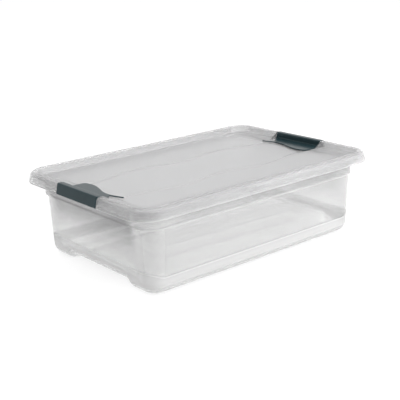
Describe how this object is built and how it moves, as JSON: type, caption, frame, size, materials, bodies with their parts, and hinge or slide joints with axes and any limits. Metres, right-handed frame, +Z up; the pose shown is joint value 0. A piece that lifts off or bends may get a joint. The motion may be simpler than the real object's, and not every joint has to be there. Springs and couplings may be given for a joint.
{
  "type": "under bed box",
  "caption": "Low clear plastic storage box with a lift-off lid, a sunk lid panel, rails to stand on and swing latches that clip over the rim at each end.",
  "frame": {"origin": "on the floor, under the middle of the box", "axes": "+X along the length towards the right latch, +Y across the width, +Z up through the lid"},
  "size_m": [0.595, 0.4, 0.172],
  "materials": {
    "clear_tub": "clear moulded polypropylene, gloss",
    "clear_lid": "milky clear moulded polypropylene, satin",
    "dark_latch": "slate grey moulded polypropylene, satin"
  },
  "bodies": {
    "box": {"box_body": "clear_tub"},
    "lid": {"lid": "clear_lid"},
    "left_latch": {"left_latch": "dark_latch"},
    "right_latch": {"right_latch": "dark_latch"}
  },
  "joints": [
    {"name": "lid_lift", "type": "slide", "parent": "box", "child": "lid", "axis": [0, 0, 1], "range_m": [0, 0.03]},
    {"name": "left_latch_swing", "type": "hinge", "parent": "box", "child": "left_latch", "pos_m": [-0.2903, 0, 0.1555], "axis": [0, -1, 0], "range_deg": [0, 110]},
    {"name": "right_latch_swing", "type": "hinge", "parent": "box", "child": "right_latch", "pos_m": [0.2903, 0, 0.1555], "axis": [0, 1, 0], "range_deg": [0, 110]}
  ],
  "couplings": [
    {"joint": "left_latch_swing", "follows": "lid_lift", "rad_per_m": 63.99},
    {"joint": "right_latch_swing", "follows": "lid_lift", "rad_per_m": 63.99}
  ]
}
